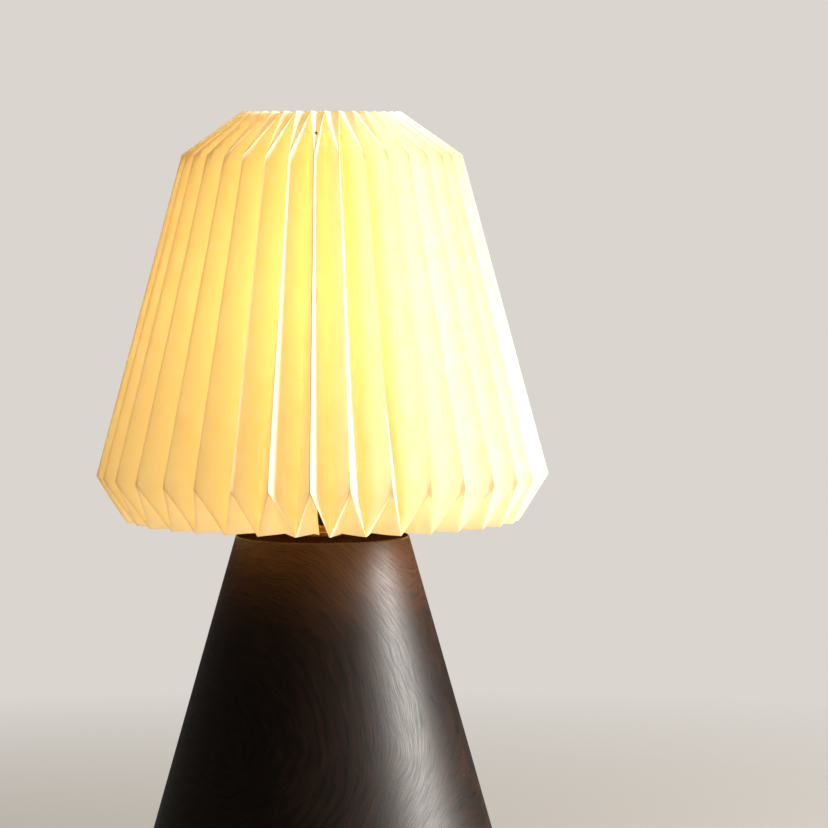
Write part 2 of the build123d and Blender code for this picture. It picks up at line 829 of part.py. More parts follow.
# ---------------------------------------------------------------- bulb
bulb_bottom = contact_top + bulb_contact_gap
insulator_bottom = bulb_bottom + bulb_tip_height
cap_bottom = insulator_bottom + bulb_insulator_height
bulb_cap_top = cap_bottom + bulb_cap_length
globe_centre = bulb_bottom + bulb_length - bulb_radius
neck_bottom = bulb_cap_top - bulb_neck_straight
neck_top_height = bulb_cap_top + bulb_cap_wall


def envelope_line(wall):
    """Outline of the glass, set in by a wall: straight neck, hollow curve, round globe."""
    neck = bulb_neck_radius - wall
    globe = bulb_radius - wall
    rise = globe_centre - neck_top_height
    flare = (rise**2 + neck**2 - globe**2) / (2 * (globe - neck))
    flare_angle = degrees(atan(rise / (neck + flare)))
    straight = Line((neck, neck_bottom), (neck, neck_top_height))
    curve = JernArc(straight @ 1, (0, 1), flare, -flare_angle)
    return [straight, curve, JernArc(curve @ 1, curve % 1, globe, 90 + flare_angle)]


with BuildPart() as bulb_glass:
    with BuildSketch(Plane.XZ):
        with BuildLine():
            outside = envelope_line(0)
            inside = envelope_line(bulb_wall)
            Line(outside[0] @ 0, inside[0] @ 0)
            Line(outside[-1] @ 1, inside[-1] @ 1)
        make_face()
    revolve(axis=Axis.Z)
keep(bulb_glass.part, "bulb_glass")

bulb_cap = turned(
    [
        (bulb_cap_radius - bulb_cap_wall, cap_bottom + bulb_cap_wall),
        (bulb_tip_radius + bulb_cap_wall, cap_bottom + bulb_cap_wall),
        (bulb_tip_radius + bulb_cap_wall, cap_bottom),
        (bulb_cap_radius, cap_bottom),
        (bulb_cap_radius, bulb_cap_top),
        (bulb_cap_radius - bulb_cap_wall, bulb_cap_top),
    ]
)
keep(bulb_cap, "bulb_cap")

bulb_insulator = turned(
    [
        (0, insulator_bottom),
        (bulb_insulator_foot_radius, insulator_bottom),
        (bulb_cap_radius - bulb_cap_wall, cap_bottom),
        (0, cap_bottom),
    ]
)
keep(bulb_insulator, "bulb_insulator")

with BuildPart() as bulb_tip:
    with Locations((0, 0, bulb_bottom)):
        Cylinder(bulb_tip_radius, bulb_tip_height, align=(Align.CENTER, Align.CENTER, Align.MIN))
keep(bulb_tip.part, "bulb_tip_contact")

mount_bottom = cap_bottom
mount_top = mount_bottom + bulb_cap_length + bulb_mount_height
spider_radius = bulb_filament_circle_radius + bulb_filament_radius
with BuildPart() as bulb_mount:
    with Locations((0, 0, mount_bottom)):
        Cone(
            bulb_tip_radius,
            bulb_mount_top_radius,
            mount_top - mount_bottom,
            align=(Align.CENTER, Align.CENTER, Align.MIN),
        )
    with Locations((0, 0, mount_top)):
        Cylinder(spider_radius, bulb_spider_thickness, align=(Align.CENTER, Align.CENTER, Align.MIN))
keep(bulb_mount.part, "bulb_mount")

with BuildPart() as bulb_filaments:
    with Locations((0, 0, mount_top)):
        with PolarLocations(bulb_filament_circle_radius, bulb_filament_count):
            Cylinder(
                bulb_filament_radius,
                bulb_filament_length,
                align=(Align.CENTER, Align.CENTER, Align.MAX),
            )
keep(bulb_filaments.part, "bulb_filaments")

print("shade", round(2 * lower_crease_radius), "mm across, lamp", round(top_tip_height), "mm high")
print("carrier ring radius", round(carrier_ring_radius, 2), "gathering cord at", round(gathering_height, 1))
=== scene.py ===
# %% [markdown]
# # A pleated paper table lamp
#
# The lamp is a folded paper shade that sits loose on a wire carrier above a turned wooden cone.
# The hard pieces (cone, stem, lampholder, bulb, wire) already have their true shape in the
# construction model, which is loaded here as a frame that never moves. This lesson gives every
# piece its finish. It makes anew the soft ones that no plain solid can stand for: the paper, the
# cotton cord that gathers it, and the felt under the foot. It also rolls the threads of the
# bulb's cap and its shell, and shows the cone as a smoother copy of itself.

# %% The frame, and the box that everything has to stay inside
import json
import math

import bpy
import bmesh
from mathutils import Matrix, Vector

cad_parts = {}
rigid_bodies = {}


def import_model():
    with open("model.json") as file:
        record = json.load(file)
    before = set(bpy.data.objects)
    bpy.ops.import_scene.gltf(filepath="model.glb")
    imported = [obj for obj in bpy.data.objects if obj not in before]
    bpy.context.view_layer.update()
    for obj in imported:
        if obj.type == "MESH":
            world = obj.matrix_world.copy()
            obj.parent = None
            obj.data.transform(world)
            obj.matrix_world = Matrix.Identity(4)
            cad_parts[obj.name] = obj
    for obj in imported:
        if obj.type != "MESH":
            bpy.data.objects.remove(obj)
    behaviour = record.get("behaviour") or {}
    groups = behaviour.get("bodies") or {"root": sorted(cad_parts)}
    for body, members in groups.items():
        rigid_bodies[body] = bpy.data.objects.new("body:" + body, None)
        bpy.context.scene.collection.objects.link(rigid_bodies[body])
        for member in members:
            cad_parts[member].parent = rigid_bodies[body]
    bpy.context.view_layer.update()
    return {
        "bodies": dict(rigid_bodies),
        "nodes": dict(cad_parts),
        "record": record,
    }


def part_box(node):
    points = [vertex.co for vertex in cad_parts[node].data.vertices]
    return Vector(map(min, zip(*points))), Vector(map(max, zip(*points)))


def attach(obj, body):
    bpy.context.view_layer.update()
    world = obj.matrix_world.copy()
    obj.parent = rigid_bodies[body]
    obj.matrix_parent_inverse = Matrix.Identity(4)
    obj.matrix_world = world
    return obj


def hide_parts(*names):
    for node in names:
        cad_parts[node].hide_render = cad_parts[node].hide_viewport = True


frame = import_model()
cad_nodes = frame["nodes"]
mm = 0.001

# %% [markdown]
# Small helpers do the work that repeats. One turns the hex colour that a picture editor shows
# into the linear values that a shader needs. One adds a node, sets its options, and fills its
# sockets in order: a number sets a socket, and another node is linked to it. The others set
# sockets by their names, start a material, and put an object in the scene.


# %% Helpers for colours, nodes, materials and objects
def paint(hex_colour):
    """Linear colour with full alpha for an sRGB hex such as '#C8925A'."""
    parts = [int(hex_colour[i : i + 2], 16) / 255 for i in (1, 3, 5)]
    linear = [c / 12.92 if c <= 0.04045 else ((c + 0.055) / 1.055) ** 2.4 for c in parts]
    return (*linear, 1.0)


def add(tree, kind, *values, named=None, **settings):
    """Adds a node with its settings. Values fill the open sockets in order, named ones by name."""
    made = tree.nodes.new(kind)
    for name, value in settings.items():
        setattr(made, name, value)
    sockets = [s for s in made.inputs if s.enabled]
    pairs = list(zip(sockets, values))
    pairs += [(next(s for s in sockets if s.name == n), v) for n, v in (named or {}).items()]
    for socket, value in pairs:
        if isinstance(value, bpy.types.Node):
            tree.links.new(next(s for s in value.outputs if s.enabled), socket)
        elif isinstance(value, bpy.types.NodeSocket):
            tree.links.new(value, socket)
        elif value is not None:
            socket.default_value = value
    return made


def dress(tree, node, settings):
    """Sets sockets of a node by their names, to values or to what other nodes give."""
    for label, value in settings.items():
        if isinstance(value, bpy.types.Node):
            tree.links.new(next(s for s in value.outputs if s.enabled), node.inputs[label])
        else:
            node.inputs[label].default_value = value


def finish_named(name):
    """A material, its tree, shader and output, and the piece's own coordinates."""
    material = bpy.data.materials.new(name)
    material.use_nodes = True
    tree = material.node_tree
    tree.nodes.clear()
    shader = add(tree, "ShaderNodeBsdfPrincipled")
    output = add(tree, "ShaderNodeOutputMaterial", shader)
    place = add(tree, "ShaderNodeTexCoord").outputs["Object"]
    return material, tree, shader, output, place


def placed(name, data):
    """An object at the origin that shows some data, put in the scene."""
    made = bpy.data.objects.new(name, data)
    bpy.context.scene.collection.objects.link(made)
    return made


# Kinds of node that come up often, and where most of a noise's values lie.
calc = "ShaderNodeMath"
vector_calc = "ShaderNodeVectorMath"
join = "ShaderNodeMix"
rescale = "ShaderNodeMapRange"
noise_range = (0.3, 0.7)

# %% [markdown]
# ## The paper
#
# A shade like this is one long sheet of parchment paper, scored and folded into thirty-six
# pleats. Two more scored zigzags, near the top and the bottom, let each pleat turn inside out
# there, and that is what pulls the shade in to a narrow mouth and a tucked-in hem.
#
# The shape follows a rule, so Geometry Nodes fold it: a flat grid goes in, with a column for
# every place across the pleats and a row for every place up the sheet, and each point is sent to
# where the folded paper puts it. Hand folding is never even, so each ridge and each valley gets
# its own small error from a fixed seed.

# %% Sizes of the folded sheet
pleats = 36
pleat_angle = 2 * math.pi / pleats
first_ridge = math.radians(-90)
paper_thickness = 0.4 * mm
shade_height = 249 * mm
shade_low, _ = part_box("pleated_shade")
hem_height = shade_low.z
mouth_height = hem_height + shade_height
# The construction's hem, less a drop to where the real hem is seen to hang.
hem_rise = 0.2 * mm
hem_drop = 1.4 * mm
hem_tip = hem_height + hem_rise - hem_drop
# A ridge from hem to mouth, and the valley beside it: (radius, height).
hem_on_ridge = (97.0 * mm, hem_tip)
lower_crease = (139.2 * mm, hem_height + 27.0 * mm)
upper_crease = (86.3 * mm, mouth_height - 26.5 * mm)
mouth_on_ridge = (45.0 * mm, mouth_height - 1.0 * mm)
hem_in_valley = (121.0 * mm, hem_tip)
mouth_in_valley = (48.5 * mm, mouth_height)
# Reaches that the finish measures folds with. The first is given: a panel is wider.
ridge_reach = 22.0 * mm
wall_length = 205 * mm
flap_length = 48 * mm
# The valleys draw their errors from numbers that start here, clear of the ridges' numbers.
first_valley_key = 1000.0
weld_distance = 0.02 * mm
bow_wave = 90 * mm
print("pleat every", 360 / pleats, "degrees, hem at", round(hem_height, 4), "m")

# %% [markdown]
# The tree reads as a folder works. It finds which pleat a point is in and how far it is from the
# ridge, places the ridge line and the valley line for its row, and lays the point between them.
# Everything that someone might want to change about the shade is an input with a name.

# %% The folding tree and its inputs
def tree_with(name, inputs):
    """An empty Geometry Nodes tree, the sockets of its named inputs, and their identifiers."""
    tree = bpy.data.node_groups.new(name, "GeometryNodeTree")
    tree.interface.new_socket("Geometry", in_out="OUTPUT", socket_type="NodeSocketGeometry")
    identifiers = {}
    for label, kind in inputs.items():
        socket = tree.interface.new_socket(label, in_out="INPUT", socket_type="NodeSocket" + kind)
        identifiers[label] = socket.identifier
    return tree, tree.nodes.new("NodeGroupInput").outputs, identifiers


fold, given, fold_inputs = tree_with(
    "fold_the_paper",
    {
        "Pleats": "Int",
        "Columns per pleat": "Int",
        "Flap rows": "Int",
        "Wall rows": "Int",
        "From pleat": "Float",
        "To pleat": "Float",
        "Gap start": "Float",
        "Gap end": "Float",
        "Hem flaps": "Bool",
        "Mouth flaps": "Bool",
        "Set in": "Float",
        "Uneven angle": "Float",
        "Uneven fold": "Float",
        "Bow": "Float",
        "Seed": "Int",
        "Paper": "Material",
    },
)
print("inputs", ", ".join(fold_inputs))

# %% [markdown]
# First the flat sheet. A grid's x is counted in pleats and its y in rows, so that the place of a
# point says straight away which pleat and which row it belongs to.

# %% The flat sheet
rows = add(fold, calc, given["Flap rows"], 2.0, given["Wall rows"], operation="MULTIPLY_ADD")
columns = add(
    fold, calc, given["Pleats"], given["Columns per pleat"], 1.0, operation="MULTIPLY_ADD"
)
row_points = add(fold, calc, rows, 1.0, operation="ADD")
grid = add(fold, "GeometryNodeMeshGrid", given["Pleats"], rows, columns, row_points)
flat_place = add(fold, "ShaderNodeSeparateXYZ", add(fold, "GeometryNodeInputPosition"))
across = add(fold, calc, given["Pleats"], 0.5, flat_place.outputs["X"], operation="MULTIPLY_ADD")
up = add(fold, calc, rows, 0.5, flat_place.outputs["Y"], operation="MULTIPLY_ADD")
wall_top = add(fold, calc, given["Flap rows"], given["Wall rows"], operation="ADD")

# %% [markdown]
# The two ends of the sheet meet in the first pleat, where the hem is open: its flap is cut away
# from the gap's start to its end, and a narrow strip stays beside the ridge. The same tree also
# makes the strip where the ends lap, so what is cut is a question of columns and rows, and each
# test gives 1 for a face that has to go.

# %% Cutting the sheet
in_hem = add(fold, calc, up, given["Flap rows"], operation="LESS_THAN")
in_mouth = add(fold, calc, up, wall_top, operation="GREATER_THAN")
past_gap = add(fold, calc, across, given["Gap end"], operation="GREATER_THAN")
before_gap = add(fold, calc, across, given["Gap start"], operation="LESS_THAN")
beside_gap = add(fold, calc, past_gap, before_gap, operation="MAXIMUM")
seam_flap = add(fold, calc, in_hem, beside_gap, operation="GREATER_THAN")
no_hem = add(fold, calc, in_hem, given["Hem flaps"], operation="GREATER_THAN")
no_mouth = add(fold, calc, in_mouth, given["Mouth flaps"], operation="GREATER_THAN")
too_early = add(fold, calc, across, given["From pleat"], operation="LESS_THAN")
too_late = add(fold, calc, across, given["To pleat"], operation="GREATER_THAN")
cut_away = seam_flap
for reason in (no_hem, no_mouth, too_early, too_late):
    cut_away = add(fold, calc, cut_away, reason, operation="MAXIMUM")
cut_sheet = add(fold, "GeometryNodeDeleteGeometry", grid, cut_away, domain="FACE")

# %% [markdown]
# Columns crowd towards the folds, because the fold is where the form and the light change. Every
# ridge and every valley has a number of its own, from which its error is drawn, so that the two
# panels that share a fold agree on where it is.

# %% Which fold a point is beside
ridge_number = add(fold, calc, across, operation="ROUND")
from_ridge = add(fold, calc, across, ridge_number, operation="SUBTRACT")
side = add(fold, calc, from_ridge, operation="SIGN")
apart = add(fold, calc, from_ridge, operation="ABSOLUTE")
wave_angle = add(fold, calc, apart, 2 * math.pi, operation="MULTIPLY")
wave = add(fold, calc, wave_angle, operation="COSINE")
share = add(fold, calc, wave, -0.5, 0.5, operation="MULTIPLY_ADD")
valley_number = add(fold, calc, side, 0.5, ridge_number, operation="MULTIPLY_ADD")
ridge_key = add(fold, calc, ridge_number, given["Pleats"], operation="FLOORED_MODULO")
valley_turn = add(fold, calc, valley_number, given["Pleats"], operation="FLOORED_MODULO")
valley_key = add(fold, calc, valley_turn, 2.0, first_valley_key, operation="MULTIPLY_ADD")

# %% [markdown]
# Each fold draws a small turn round the lamp and a slip of its radius from its own number. A
# ridge only slips inwards, so that it stays inside the construction's box, and the foot of a
# valley slips either way. A place on a fold is a radius and a height, turned to its angle.

# %% Where the folds go
draw = "FunctionNodeRandomValue"
least_angle = add(fold, calc, given["Uneven angle"], -1.0, operation="MULTIPLY")
least_fold = add(fold, calc, given["Uneven fold"], -1.0, operation="MULTIPLY")
other_seed = add(fold, calc, given["Seed"], 1.0, operation="ADD")
ridge_error = add(fold, draw, least_angle, given["Uneven angle"], ridge_key, given["Seed"])
valley_error = add(fold, draw, least_angle, given["Uneven angle"], valley_key, given["Seed"])
ridge_slip = add(fold, draw, 0.0, given["Uneven fold"], ridge_key, other_seed)
valley_slip = add(fold, draw, least_fold, given["Uneven fold"], valley_key, other_seed)


def meridian(number, error):
    """The angle of a fold round the lamp, with its own small error."""
    even = add(fold, calc, number, pleat_angle, first_ridge, operation="MULTIPLY_ADD")
    return add(fold, calc, even, error, operation="ADD")


def place_on(angle, radius, height, slip=0.0):
    """A place on a fold: its radius, less a slip, and its height, turned to the fold's angle."""
    reach = add(fold, calc, radius, slip, operation="SUBTRACT")
    flat = add(fold, "ShaderNodeCombineXYZ", reach, 0.0, height)
    return add(
        fold, "ShaderNodeVectorRotate", flat, named={"Angle": angle}, rotation_type="Z_AXIS"
    )


ridge_angle = meridian(ridge_number, ridge_error)
valley_angle = meridian(valley_number, valley_error)
hem_end = place_on(ridge_angle, *hem_on_ridge)
low_corner = place_on(ridge_angle, *lower_crease, ridge_slip)
high_corner = place_on(ridge_angle, *upper_crease, ridge_slip)
mouth_end = place_on(ridge_angle, *mouth_on_ridge)
valley_low = place_on(valley_angle, *hem_in_valley, valley_slip)
valley_high = place_on(valley_angle, *mouth_in_valley)

# %% [markdown]
# The ridge line is bent at its two corners and the valley line is straight. A point climbs along
# both with its row, and lies between them by its share.

# %% Folding
hem_part = add(fold, rescale, up, 0.0, given["Flap rows"], 0.0, 1.0)
wall_part = add(fold, rescale, up, given["Flap rows"], wall_top, 0.0, 1.0)
mouth_part = add(fold, rescale, up, wall_top, rows, 0.0, 1.0)
ridge_line = add(fold, join, hem_part, hem_end, low_corner, data_type="VECTOR")
ridge_line = add(fold, join, wall_part, ridge_line, high_corner, data_type="VECTOR")
ridge_line = add(fold, join, mouth_part, ridge_line, mouth_end, data_type="VECTOR")
valley_line = add(fold, join, wall_part, valley_low, valley_high, data_type="VECTOR")
folded_place = add(fold, join, share, ridge_line, valley_line, data_type="VECTOR")

# %% [markdown]
# The paper's finish has to know how near it is to a scored fold, so each point carries that
# distance as an attribute. Two kinds of fold count: the ridge beside a point, and the creases
# across the pleat below and above it. The valleys are left plain.

# %% How near a fold is
toward_valley = add(fold, calc, 1.0, share, operation="SUBTRACT")
near_ridge = add(fold, calc, share, ridge_reach, operation="MULTIPLY")
down_the_wall = add(fold, calc, 1.0, wall_part, operation="SUBTRACT")
wall_share = add(fold, calc, wall_part, down_the_wall, operation="MINIMUM")
hem_share = add(fold, calc, 1.0, hem_part, operation="SUBTRACT")
flap_share = add(fold, calc, hem_share, mouth_part, operation="ADD")
flap_reach = add(fold, calc, flap_share, toward_valley, operation="MULTIPLY")
flap_reach = add(fold, calc, flap_reach, flap_length, operation="MULTIPLY")
near_cross_fold = add(fold, calc, wall_share, wall_length, flap_reach, operation="MULTIPLY_ADD")
fold_distance = add(fold, calc, near_ridge, near_cross_fold, operation="MINIMUM")
marked = cut_sheet
for label, measure in {"fold_distance": fold_distance, "ridge_share": share}.items():
    marked = add(
        fold,
        "GeometryNodeStoreNamedAttribute",
        named={"Geometry": marked, "Name": label, "Value": measure},
        domain="POINT",
    )

# %% [markdown]
# Paper doesn't lie dead flat between its folds. Each panel bows by a fraction of a millimetre,
# most in its middle, and that makes the light wander a little from panel to panel. The lap strip
# uses the same numbers, set in by a layer, so it follows its panel.

# %% Weld, bow and finish
folded = add(
    fold, "GeometryNodeSetPosition", named={"Geometry": marked, "Position": folded_place}
)
welded = add(
    fold, "GeometryNodeMergeByDistance", named={"Geometry": folded, "Distance": weld_distance}
)
kept_share = add(fold, "GeometryNodeInputNamedAttribute", named={"Name": "ridge_share"})
kept_rest = add(fold, calc, 1.0, kept_share, operation="SUBTRACT")
bow_room = add(fold, calc, kept_share, kept_rest, operation="MULTIPLY")
wander = add(fold, "ShaderNodeTexNoise", named={"Scale": 1 / bow_wave, "Detail": 1.0})
either_way = add(fold, calc, wander.outputs[0], 0.5, operation="SUBTRACT")
bow_size = add(fold, calc, either_way, given["Bow"], operation="MULTIPLY")
bow_less_layer = add(fold, calc, bow_size, bow_room, operation="MULTIPLY")
bow_less_layer = add(fold, calc, bow_less_layer, given["Set in"], operation="SUBTRACT")
shift = add(
    fold,
    vector_calc,
    add(fold, "GeometryNodeInputNormal"),
    named={"Scale": bow_less_layer},
    operation="SCALE",
)
bowed = add(fold, "GeometryNodeSetPosition", named={"Geometry": welded, "Offset": shift})
real = add(fold, "GeometryNodeRealizeInstances", bowed)
finish = {"Geometry": real, "Material": given["Paper"]}
add(fold, "NodeGroupOutput", add(fold, "GeometryNodeSetMaterial", named=finish))
print("folding tree", len(fold.nodes), "nodes")

# %% [markdown]
# Parchment paper is hard, slightly waxy, and lets light through. Lit from inside it glows from
# orange-yellow to cream, and daylight from outside shows it white, so the shader is part a matt
# surface and part a translucent one. Light goes through both faces of the sheet, so the tint
# counts twice. The fibres are finer than a pixel, and clouds of pulp a few millimetres across
# stand for them. Along a fold the paper is bruised and double, and a thin brown line is painted
# there: partly that scored paper, partly painted shade in the fold. Inside a shade, light is
# scattered from fold to fold many times over. A weak warm emission stands for what that adds and
# evens out the glow: a painted glow, as the paper is no lamp.

# %% Parchment paper, scored and folded
paper_white = paint("#FFFBF3")
paper_cloud = paint("#FAF0DF")
# Fold-line tints: partly scored paper, partly painted shade in the fold.
fold_mark_and_shade_outside = paint("#EBDCC6")
paper_glow = paint("#FFFBEA")
paper_glow_cloud = paint("#FFF6D8")
fold_mark_and_shade_through = paint("#CE9C6A")
# A weak warm emission: a painted glow for light scattered between the folds.
scatter_glow_tint = paint("#FFD678")
see_through = 0.36
cloud_size = 9 * mm
cloud_range = (0.35, 0.7)
fibre_size = 0.9 * mm
fibre_stretch = (1.0, 1.0, 0.35)
# Where the darkened fold line is drawn: partly scored paper, partly painted shade.
fold_line_core = 0.1 * mm
fold_line_reach = 0.45 * mm
fold_line_strength = 0.6
scatter_glow_strength = 0.28


def parchment(name):
    """Paper that is part matt and part translucent, clouded, darkened along its folds as scored
    paper and painted shade, and given a painted glow.
    """
    material, tree, surface, output, place = finish_named(name)
    pulp = {"Scale": 1 / cloud_size, "Detail": 4.0, "Roughness": 0.6}
    clouds = add(tree, "ShaderNodeTexNoise", place, named=pulp)
    cloudy = add(tree, rescale, clouds, *cloud_range, 0.0, 1.0)
    outside = add(tree, join, cloudy, paper_white, paper_cloud, data_type="RGBA")
    through = add(tree, join, cloudy, paper_glow, paper_glow_cloud, data_type="RGBA")
    near_fold = add(tree, "ShaderNodeAttribute", attribute_name="fold_distance").outputs["Fac"]
    # Both tints darken along the folds: partly scored, doubled paper, partly painted shade.
    fold_mark_and_shade = add(tree, rescale, near_fold, fold_line_core, fold_line_reach, fold_line_strength, 0.0)
    outside = add(tree, join, fold_mark_and_shade, outside, fold_mark_and_shade_outside, data_type="RGBA")
    through = add(tree, join, fold_mark_and_shade, through, fold_mark_and_shade_through, data_type="RGBA")
    drawn_out = add(tree, "ShaderNodeMapping", place, named={"Scale": fibre_stretch})
    hair = {"Scale": 1 / fibre_size, "Detail": 3.0, "Roughness": 0.7}
    fibres = add(tree, "ShaderNodeTexNoise", drawn_out, named=hair)
    relief = {"Height": fibres, "Strength": 0.12, "Distance": 0.05 * mm}
    bump = add(tree, "ShaderNodeBump", named=relief)
    matt = {
        "Base Color": outside,
        "Roughness": 0.62,
        "IOR": 1.45,
        "Normal": bump,
        # Painted glow: the paper is no lamp, the emission stands for scattered light.
        "Emission Color": scatter_glow_tint,
        "Emission Strength": scatter_glow_strength,
    }
    dress(tree, surface, matt)
    glow = add(tree, "ShaderNodeBsdfTranslucent", through)
    both = add(tree, "ShaderNodeMixShader", see_through, surface, glow)
    dress(tree, output, {"Surface": both})
    return material


shade_paper = parchment("parchment_paper_folded")
print("paper finish", shade_paper.name)

# %% [markdown]
# A tree only becomes a piece once it is given to an object. The sheet is then given its
# thickness towards the inside, and the finished mesh is kept plain, so that nothing is left for
# the exporter to work out.


# %% From tree to piece
def grown(name, tree, identifiers, sizes, depth=None):
    """The plain piece that a tree makes from its named sizes, thickened inwards if asked."""
    holder = placed(name + "_grown", bpy.data.meshes.new(name + "_start"))
    growing = holder.modifiers.new("grow", "NODES")
    growing.node_group = tree
    for label, value in sizes.items():
        growing[identifiers[label]] = value
    if depth is not None:
        solid = holder.modifiers.new("thickness", "SOLIDIFY")
        solid.thickness = depth
        solid.offset = -1.0
        solid.use_even_offset = True
        solid.use_quality_normals = True
    shapes = bpy.context.evaluated_depsgraph_get()
    mesh = bpy.data.meshes.new_from_object(holder.evaluated_get(shapes), depsgraph=shapes)
    mesh.name = name
    bpy.data.objects.remove(holder)
    return placed(name, mesh)


def stands_for(piece, body, node):
    """Puts a piece on its body, in the place of a node, and says what it measures."""
    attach(piece, body)
    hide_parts(node)
    size = [round(v / mm, 1) for v in piece.dimensions]
    print(piece.name, len(piece.data.polygons), "faces,", size, "mm")


# The lap ends at this share of the first pleat, where the hem's gap starts. It lies one layer of
# paper and a little air further in.
lap_share = 0.19
lap_set_in = 0.46 * mm
sheet_sizes = {
    "Pleats": pleats,
    "Columns per pleat": 16,
    "Flap rows": 4,
    "Wall rows": 14,
    "From pleat": 0.0,
    "To pleat": float(pleats),
    "Gap start": lap_share,
    "Gap end": 0.5,
    "Hem flaps": True,
    "Mouth flaps": True,
    "Set in": 0.0,
    "Uneven angle": math.radians(0.55),
    "Uneven fold": 0.7 * mm,
    "Bow": 9.0 * mm,
    "Seed": 11,
    "Paper": shade_paper,
}
paper_shade = grown("folded_paper_shade", fold, fold_inputs, sheet_sizes, paper_thickness)
stands_for(paper_shade, "shade", "pleated_shade")
lap_sizes = {
    **sheet_sizes,
    "To pleat": lap_share,
    "Hem flaps": False,
    "Mouth flaps": False,
    "Set in": lap_set_in,
}
paper_lap = grown("seam_lap", fold, fold_inputs, lap_sizes, paper_thickness)
stands_for(paper_lap, "shade", "seam_overlap")

# %% [markdown]
# ## The gathering cord
#
# A cotton cord runs through punched holes under the top folds and keeps the pleats gathered. It
# is three plies twisted together, and all that is seen of it is a short length between two
# pleats. Each ply is a closed curve that winds round the line of the cord, swept with a small
# circle, and the same tree draws the little knot that closes the cord at the seam.

# %% The twisting tree
twist, asked, twist_inputs = tree_with(
    "twist_the_cord",
    {
        "Loop radius": "Float",
        "Twist radius": "Float",
        "Ply radius": "Float",
        "Plies": "Int",
        "Turns": "Float",
        "Steps": "Int",
        "Centre": "Vector",
        "Tilt": "Vector",
        "Cotton": "Material",
    },
)
loop = add(twist, "GeometryNodeCurvePrimitiveCircle", asked["Steps"], named={"Radius": 1.0})
plied = add(
    twist, "GeometryNodeDuplicateElements", loop, named={"Amount": asked["Plies"]}, domain="SPLINE"
)
round_loop = add(twist, "GeometryNodeSplineParameter").outputs["Factor"]
loop_angle = add(twist, calc, round_loop, 2 * math.pi, operation="MULTIPLY")
ply_share = add(
    twist, calc, plied.outputs["Duplicate Index"], asked["Plies"], operation="DIVIDE"
)
ply_start = add(twist, calc, ply_share, 2 * math.pi, operation="MULTIPLY")
twist_angle = add(twist, calc, loop_angle, asked["Turns"], ply_start, operation="MULTIPLY_ADD")
out = add(twist, calc, twist_angle, operation="COSINE")
lift = add(twist, calc, twist_angle, operation="SINE")
ply_reach = add(
    twist, calc, out, asked["Twist radius"], asked["Loop radius"], operation="MULTIPLY_ADD"
)
ply_lift = add(twist, calc, lift, asked["Twist radius"], operation="MULTIPLY")
ply_flat = add(twist, "ShaderNodeCombineXYZ", ply_reach, 0.0, ply_lift)
ply_place = add(
    twist,
    "ShaderNodeVectorRotate",
    ply_flat,
    named={"Angle": loop_angle},
    rotation_type="Z_AXIS",
)
wound = add(
    twist,
    "GeometryNodeSetPosition",
    named={"Geometry": plied.outputs["Geometry"], "Position": ply_place},
)
outline = add(twist, "GeometryNodeCurvePrimitiveCircle", 6, named={"Radius": asked["Ply radius"]})
swept = add(twist, "GeometryNodeCurveToMesh", wound, outline)
put = add(
    twist,
    "GeometryNodeTransform",
    named={"Geometry": swept, "Translation": asked["Centre"], "Rotation": asked["Tilt"]},
)
cotton_real = add(twist, "GeometryNodeRealizeInstances", put)
finish = {"Geometry": cotton_real, "Material": asked["Cotton"]}
add(twist, "NodeGroupOutput", add(twist, "GeometryNodeSetMaterial", named=finish))
print("twisting tree", len(twist.nodes), "nodes")

# %% [markdown]
# Cotton and felt are matt and furry. What the eye gets is a soft edge of light on the fibres
# that stand up, so both have a sheen and a strong fine bump. The cord lies between glowing
# folds, and a warm emission stands for the light that they send into it: a painted glow. The
# knot is coloured dark brown: painted shade, for the dark hole that it sits in.


# %% Cotton and felt
def furry(name, light, dark, fibre, lift, lit=0.0):
    """A matt fibrous surface with a sheen at its edges, and lamplight in it if asked."""
    material, tree, surface, _, place = finish_named(name)
    hair = {"Scale": 1 / fibre, "Detail": 5.0, "Roughness": 0.75}
    nap = add(tree, "ShaderNodeTexNoise", place, named=hair)
    tone = add(tree, join, nap, paint(light), paint(dark), data_type="RGBA")
    rough = add(tree, rescale, nap, *noise_range, 0.85, 1.0)
    bump = add(tree, "ShaderNodeBump", named={"Height": nap, "Strength": 0.8, "Distance": lift})
    fur = {
        "Base Color": tone,
        "Roughness": rough,
        "Normal": bump,
        "Sheen Weight": 0.4,
        "Emission Color": scatter_glow_tint,
        "Emission Strength": lit,
    }
    dress(tree, surface, fur)
    return material


cotton_hair = (0.4 * mm, 0.08 * mm)
wool_hair = (0.8 * mm, 0.25 * mm)
lamplight_in_cord = 0.5
cotton = furry("twisted_cotton", "#FFFDF8", "#F4EDE0", *cotton_hair, lamplight_in_cord)
# The knot's dark brown is painted shade, for the dark hole that it sits in.
knot_cotton_painted_shade = furry("cotton_knot_painted_shade", "#6B4A20", "#3A2610", *cotton_hair)
wool_felt = furry("pressed_wool_felt", "#2A2A2A", "#141414", *wool_hair)

# %% [markdown]
# The cord takes its radius and place from the construction's plain ring. The knot is a small
# tilted loop of three plies on the seam's fold.

